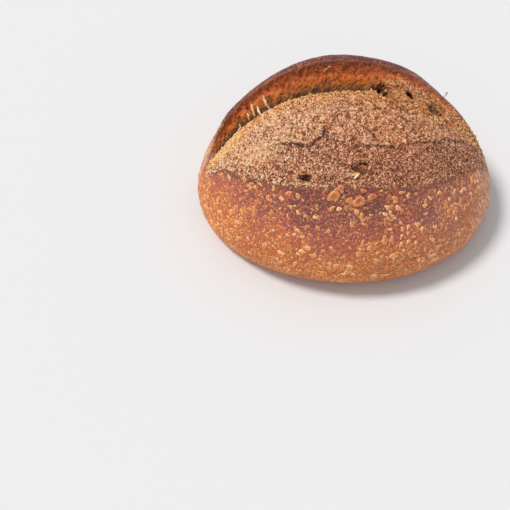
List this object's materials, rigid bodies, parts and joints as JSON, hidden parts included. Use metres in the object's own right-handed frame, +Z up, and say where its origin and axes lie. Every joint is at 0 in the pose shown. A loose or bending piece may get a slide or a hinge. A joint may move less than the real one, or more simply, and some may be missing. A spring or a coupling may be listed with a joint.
{
  "type": "whole wheat loaf",
  "caption": "Oval hearth loaf with a flat sole, a domed crust and one lengthwise cut that opened into a raised lip, a deep crevice and a rough torn belly.",
  "frame": {"origin": "under the middle of the loaf, on the surface that it stands on", "axes": "+X along the loaf, +Y towards the side with the raised lip, +Z up"},
  "size_m": [0.24, 0.187, 0.1066],
  "materials": {
    "crust": "baked crust, matt to slightly satin, blistered and toasted brown"
  },
  "bodies": {
    "root": {"loaf": "crust"}
  },
  "joints": []
}
